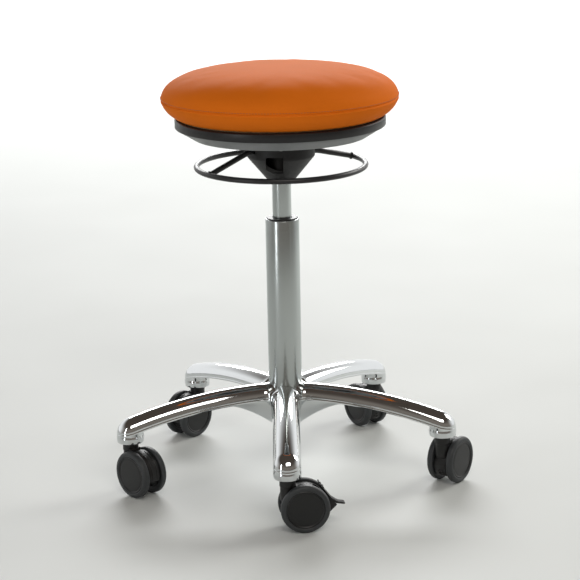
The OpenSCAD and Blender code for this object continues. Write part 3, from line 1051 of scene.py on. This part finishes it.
def make_base(settings):
    """The star base in one piece: polished legs and bosses, dull webs and hub."""
    turns = leg_turns()
    out = Matrix.Translation((stem_circle(), 0, 0))
    legs = [moved(leg_shape(settings), turn) for turn in turns]
    bosses = [moved(boss_shape(settings), turn @ out) for turn in turns]
    webs = [moved(web_shape(settings), turn) for turn in turns]
    polished = joined(*legs, *bosses)
    dull = joined(*webs, hub_shape(settings))
    base = build("star_base_casting", joined(polished, dull), weld=0.00002)
    limit = len(polished[1])
    for number, polygon in enumerate(base.data.polygons):
        polygon.material_index = 0 if number < limit else 1
    smooth(base, 38)
    return base


class STOOL_OT_base(bpy.types.Operator):
    """Builds the five-legged star base"""
    bl_idname = "stool.base"
    bl_label = "Build base"

    def execute(self, context):
        settings = context.scene.stool_base
        finishes = [polished_aluminium(settings.metal), cast_aluminium_with_painted_shade(settings.cast)]
        finish_piece(make_base(settings), finishes, "base", ["star_base"])
        return {"FINISHED"}


# ---- casters ----

def wheel_disc(core_r, near=WHEEL_NEAR, far=WHEEL_FAR):
    """The moulded disc of one wheel, as (radius, distance from the caster's middle)."""
    return rounded([
        (0.0033, near - 0.0012, 0), (0.008, near - 0.0012, 0.0005), (0.008, far - 0.005, 0.001),
        (core_r - 0.003, far - 0.005, 0.001), (core_r - 0.003, near, 0.0005), (core_r, near, 0.0003),
        (core_r, far - 0.0012, 0.0004), (core_r - 0.0011, far - 0.0004, 0.0005),
        (core_r - 0.0030, far - 0.0017, 0.0010), (core_r - 0.0060, far - 0.0013, 0.0020),
        (0.0, far - 0.0009, 0), (0.0, far - 0.0028, 0), (0.0033, far - 0.0028, 0)], closed=False)


def tread_ring(settings, wheel_r, core_r, near=WHEEL_NEAR, far=WHEEL_FAR):
    """The soft tread, with a wide round shoulder on its outer side."""
    return rounded([
        (core_r, near + 0.0004, 0.0002), (core_r + 0.001, near, 0.0003), (wheel_r, near, 0.0022),
        (wheel_r, far - 0.0008, settings.shoulder), (core_r + 0.0016, far, 0.0012),
        (core_r, far - 0.0008, 0.0003)], steps=8)


def hood_outline(wheel_r, trail, hood_r, neck_r, neck_top):
    """The hood seen from the side: a disc between the wheels with a neck, open below and behind."""
    def on_disc(degrees):
        angle = math.radians(degrees)
        return (trail + hood_r * math.cos(angle), wheel_r + hood_r * math.sin(angle))

    floor_z = 0.014
    low = 180 + math.degrees(math.asin((wheel_r - floor_z) / hood_r))
    rear = -math.degrees(math.asin((wheel_r - 0.028) / hood_r))
    outline = [(-0.005, neck_top), (-0.005, wheel_r + 0.009)]
    outline += [on_disc(180 + (low - 180) * k / 10) for k in range(11)]
    outline += [(trail + 0.008, floor_z), (trail + 0.008, 0.028)]
    outline += [on_disc(rear + (108 - rear) * k / 30) for k in range(31)]
    outline += [(neck_r, wheel_r + 0.031), (neck_r, neck_top)]
    return outline


def hood_neck(neck_r, neck_top):
    """The neck round the stem, slimmer below, where it passes between the wheels."""
    bore, slim, low, knee = 0.0051, neck_r - 0.0008, 0.043, 0.064
    return lathe(rounded([
        (bore, low, 0), (slim, low, 0.003), (slim, knee, 0.001),
        (neck_r, knee + 0.002, 0.001), (neck_r, neck_top, 0.0012), (bore, neck_top, 0.0004)]), 72)


def hood_eye():
    """A moulded eye low on the leading side, with a recessed middle."""
    eye = lathe(rounded([
        (0.0, -0.006, 0), (0.0045, -0.006, 0.0008), (0.0045, 0.006, 0.0012), (0.0024, 0.006, 0.0004),
        (0.0022, 0.0045, 0.0003), (0.0, 0.0045, 0)], closed=False), 40)
    tilt = Matrix.Translation((0, 0.0015, 0.023)) @ Matrix.Rotation(math.radians(-118), 4, "X")
    return moved(eye, tilt)


def hood_rib(x, back_r, wheel_r, trail):
    """A shallow rib over the hood's back."""
    path = []
    for k in range(29):
        angle = math.radians(-8 + 92 * k / 28)
        path.append(Vector((x, -trail - back_r * math.cos(angle), wheel_r + back_r * math.sin(angle))))
    return tube(path, 0.0008, around=8)


def make_hood(i, wheel_r, trail):
    """The cover of one caster. The braked one has the pedal's slot in place of the ribs."""
    hood_r, neck_r, half = wheel_r - 0.003, 0.0115, 0.0095
    neck_top = top(f"caster_{i}_hood")
    outline = hood_outline(wheel_r, trail, hood_r, neck_r, neck_top - 0.0068)
    hood = build(f"caster_{i}_cover", slab(outline, 2 * half))
    ribs = []
    if i == BRAKED:
        cut(hood, block((-0.006, -0.090, 0.005), (0.006, -trail - 0.013, 0.071)))
    else:
        ribs = [hood_rib(x, hood_r - 0.0001, wheel_r, trail) for x in (-0.0042, 0.0042)]
    bevel(hood, 0.0011, segments=3, angle=35)
    settle(hood)
    absorb(hood, joined(hood_neck(neck_r, neck_top), hood_eye(), *ribs), weld=1e-6)
    hood.data.transform(caster_place(i))
    smooth(hood, 35)
    return hood


def make_pedal():
    """The brake pedal: a ribbed tread plate on a web, pinned in the hood's slot."""
    # outlines of (distance behind the stem, height)
    plate = rounded([
        (0.0428, 0.0690, 0.0006), (0.0610, 0.0455, 0.010), (0.0700, 0.0388, 0.012),
        (0.0803, 0.0366, 0.0009), (0.0802, 0.0347, 0.0009), (0.0690, 0.0362, 0.006),
        (0.0600, 0.0425, 0.008), (0.0500, 0.0550, 0.006), (0.0440, 0.0622, 0.001)], steps=6)
    web = rounded([
        (0.0400, 0.0480, 0.001), (0.0480, 0.0380, 0.002), (0.0520, 0.0290, 0.002),
        (0.0580, 0.0240, 0.001), (0.0690, 0.0345, 0.001), (0.0610, 0.0440, 0.001),
        (0.0440, 0.0560, 0.001)], steps=4)
    pin_s, pin_z, eye_r = 0.042, 0.052, 0.0045
    circle = [(pin_s + eye_r * math.cos(a), pin_z + eye_r * math.sin(a))
              for a in [2 * math.pi * k / 40 for k in range(40)]]
    pedal = build("brake_lever", slab(plate, 0.0115))
    bevel(pedal, 0.0006, segments=2, angle=50)
    settle(pedal)
    shapes = [slab(web, 0.0105), slab(circle, 0.0110)]
    # three ribs across the plate's upper end, where a shoe presses
    for s, z in ((0.0436, 0.0688), (0.0466, 0.0650), (0.0496, 0.0611)):
        ends = [Vector((x, -s, z)) for x in np.linspace(-0.0052, 0.0052, 7)]
        shapes.append(tube(ends, 0.0011, around=10))
    absorb(pedal, joined(*shapes), weld=0)
    pedal.data.transform(caster_place(BRAKED))
    smooth(pedal, 40)
    return pedal


class STOOL_OT_casters(bpy.types.Operator):
    """Builds the five twin-wheel casters and the brake pedal"""
    bl_idname = "stool.casters"
    bl_label = "Build casters"

    def execute(self, context):
        settings = context.scene.stool_casters
        hood_finish = moulded_plastic("nylon_moulded_black", settings.hood, 0.45)
        disc_finish = moulded_plastic("nylon_moulded_grey", settings.disc, 0.42)
        tread_finish = soft_tread(settings.tread)
        trail = caster_trail()
        wheel_r = middle("caster_1_axle").z
        core_r = wheel_r - TREAD
        disc_shape = lathe(wheel_disc(core_r), 120)
        tread_shape = lathe(tread_ring(settings, wheel_r, core_r), 144)
        for i in CASTERS:
            body = f"caster_{i}"
            finish_piece(make_hood(i, wheel_r, trail), hood_finish, body,
                         [f"caster_{i}_hood"])
            for name, side in SIDES.items():
                place = (caster_place(i) @ Matrix.Translation((0, -trail, wheel_r))
                         @ Matrix.Rotation(math.radians(90 * side), 4, "Y"))
                wheel = f"{body}_{name}"
                disc = build(f"caster_{i}_disc_{name}", disc_shape, place)
                smooth(disc, 40)
                finish_piece(disc, disc_finish, wheel, [f"caster_{i}_wheel_{name}"])
                tread = build(f"caster_{i}_tyre_{name}", tread_shape, place)
                smooth(tread, 40)
                finish_piece(tread, tread_finish, wheel, [f"caster_{i}_tread_{name}"])
        finish_piece(make_pedal(), hood_finish, "brake", ["brake_pedal"])
        return {"FINISHED"}


# ---- pieces whose shape the frame already holds ----

class STOOL_OT_finishes(bpy.types.Operator):
    """Gives the frame's own pieces their finishes and soft edges"""
    bl_idname = "stool.finishes"
    bl_label = "Finish the frame's pieces"

    def execute(self, context):
        seat, base, ring = context.scene.stool_seat, context.scene.stool_base, context.scene.stool_ring
        finishes = {
            "plywood": birch_plywood(),
            "black_plastic": moulded_plastic("abs_moulded_black", seat.tray, 0.38),
            "silver_plastic": moulded_plastic("abs_moulded_grey", seat.under, 0.40),
            "zinc_steel": zinc_plate(),
            "black_steel": powder_coat(ring.coat),
            "chromed_steel": drawn_tube("steel_ground_hard_chromed", base.tube, 0.20, 0.5, 0.010),
            "satin_tube": drawn_tube("steel_tube_satin_chromed", base.tube, 0.24, 0.7, 0.012),
            "buffer_rubber": buffer_rubber(),
        }
        slots = {row["node"]: row["material_slot"] for row in frame["record"]["subparts"]}
        for name, node in frame["nodes"].items():
            if node.hide_render:
                continue
            node.data.materials.clear()
            node.data.materials.append(finishes[slots[name]])
            weld = node.modifiers.new("weld", "WELD")
            weld.merge_threshold = 0.00001
            bevel(node, 0.00035, segments=2, angle=40)
        return {"FINISHED"}


# ---- stage ----

def make_floor(settings):
    """A wide pale floor."""
    floor = build("studio_floor", lathe([(0, 0), (1.5, 0), (5, 0), (14, 0)], 96, closed=False))
    material, tree, shader, place = surface("vinyl_floor_matt", {"Roughness": 0.62, "IOR": 1.45})
    tint(tree, shader, grain(tree, place, 900), settings.floor, 0.015)
    vary(tree, shader, grain(tree, place, 250), "Roughness", 0.58, 0.66)
    floor.data.materials.append(material)


def make_light(name, place, target, size, power, tone):
    data = bpy.data.lights.new(name, "AREA")
    data.shape = "RECTANGLE"
    data.size, data.size_y = size
    data.energy = power
    data.color = linear(tone)
    lamp = bpy.data.objects.new(name, data)
    lamp.location = place
    lamp.rotation_mode = "QUATERNION"
    lamp.rotation_quaternion = (Vector(target) - Vector(place)).to_track_quat("-Z", "Y")
    bpy.context.scene.collection.objects.link(lamp)


STOOL_MIDDLE = (0, 0, 0.35)
# name, place, what it points at, size, power in watts, tone
LIGHTS = (
    ("key_softbox", (2.6, 1.5, 2.1), STOOL_MIDDLE, (1.3, 1.3), 42, "FFFDF8"),
    ("back_softbox", (0, 6.6, 3.0), (0, 4.6, 0), (5.0, 1.6), 370, "FFFFFF"),
    ("strip_light", (-1.9, -1.7, 0.9), STOOL_MIDDLE, (0.25, 1.8), 9, "FAFCFF"),
    ("front_fill", (0.4, -2.2, 2.4), STOOL_MIDDLE, (1.6, 1.0), 26, "FFFAF4"),
)


def make_world():
    """A studio that is white behind the stool, grey behind the camera and dark overhead."""
    world = bpy.data.worlds.new("studio")
    world.use_nodes = True
    tree = world.node_tree
    direction = add(tree, "ShaderNodeTexCoord").outputs["Generated"]
    parts = add(tree, "ShaderNodeSeparateXYZ", None, Vector=direction)
    back = add(tree, "ShaderNodeMapRange", {
        "From Min": -0.5, "From Max": 0.45, "interpolation_type": "SMOOTHSTEP"}, Value=parts.outputs["Y"])
    up = add(tree, "ShaderNodeMapRange", {
        "From Min": 0.30, "From Max": 0.75, "interpolation_type": "SMOOTHSTEP"}, Value=parts.outputs["Z"])
    sides = add(tree, "ShaderNodeMix", {"data_type": "RGBA"})
    tree.links.new(back.outputs[0], sides.inputs["Factor"])
    sides.inputs[6].default_value = [*linear("7A736C"), 1]
    sides.inputs[7].default_value = [*linear("FFFFFF"), 1]
    whole = add(tree, "ShaderNodeMix", {"data_type": "RGBA"})
    tree.links.new(up.outputs[0], whole.inputs["Factor"])
    tree.links.new(sides.outputs[2], whole.inputs[6])
    whole.inputs[7].default_value = [*linear("4A423C"), 1]
    sky = tree.nodes["Background"]
    tree.links.new(whole.outputs[2], sky.inputs["Color"])
    sky.inputs["Strength"].default_value = 1.0
    bpy.context.scene.world = world


def make_camera(settings):
    data = bpy.data.cameras.new("camera")
    data.sensor_width = 36
    data.lens = settings.lens
    data.clip_start, data.clip_end = 0.05, 60
    camera = bpy.data.objects.new("camera", data)
    ahead = Vector((math.sin(settings.yaw) * math.cos(settings.pitch),
                    math.cos(settings.yaw) * math.cos(settings.pitch), -math.sin(settings.pitch)))
    right = Vector((math.cos(settings.yaw), -math.sin(settings.yaw), 0))
    up = right.cross(ahead)
    lean, hold = math.sin(settings.roll), math.cos(settings.roll)
    across = right * hold + up * lean
    upright = up * hold - right * lean
    turn = Matrix((across, upright, -ahead)).transposed()
    camera.matrix_world = Matrix.Translation((0, -settings.distance, settings.height)) @ turn.to_4x4()
    bpy.context.scene.collection.objects.link(camera)
    bpy.context.scene.camera = camera


class STOOL_OT_stage(bpy.types.Operator):
    """Builds the floor, the studio lights and the camera"""
    bl_idname = "stool.stage"
    bl_label = "Build stage"

    def execute(self, context):
        settings = context.scene.stool_stage
        make_camera(settings)
        make_floor(settings)
        make_world()
        for light in LIGHTS:
            make_light(*light)
        context.scene.view_settings.view_transform = "Standard"
        return {"FINISHED"}


class STOOL_PT_panel(bpy.types.Panel):
    """Lists what the add-on builds"""
    bl_idname = "STOOL_PT_panel"
    bl_label = "Swivel stool"
    bl_space_type = "VIEW_3D"
    bl_region_type = "UI"
    bl_category = "Stool"

    def draw(self, context):
        for operator, group in OPERATORS:
            box = self.layout.box()
            if group:
                settings = getattr(context.scene, group)
                for name in settings.__annotations__:
                    box.prop(settings, name)
            box.operator(operator.bl_idname)


GROUPS = {
    "stool_seat": StoolSeatSettings,
    "stool_ring": StoolRingSettings,
    "stool_base": StoolBaseSettings,
    "stool_casters": StoolCasterSettings,
    "stool_stage": StoolStageSettings,
}
OPERATORS = (
    (STOOL_OT_stage, "stool_stage"),
    (STOOL_OT_seat, "stool_seat"),
    (STOOL_OT_mechanism, "stool_ring"),
    (STOOL_OT_base, "stool_base"),
    (STOOL_OT_casters, "stool_casters"),
    (STOOL_OT_finishes, None),
)


def register():
    for group, kind in GROUPS.items():
        bpy.utils.register_class(kind)
        setattr(bpy.types.Scene, group, PointerProperty(type=kind))
    for operator, _ in OPERATORS:
        bpy.utils.register_class(operator)
    bpy.utils.register_class(STOOL_PT_panel)


def unregister():
    bpy.utils.unregister_class(STOOL_PT_panel)
    for operator, _ in reversed(OPERATORS):
        bpy.utils.unregister_class(operator)
    for group, kind in reversed(list(GROUPS.items())):
        delattr(bpy.types.Scene, group)
        bpy.utils.unregister_class(kind)


def main():
    register()
    bpy.ops.stool.stage()
    bpy.ops.stool.seat()
    bpy.ops.stool.mechanism()
    bpy.ops.stool.base()
    bpy.ops.stool.casters()
    bpy.ops.stool.finishes()


if __name__ == "__main__":
    main()
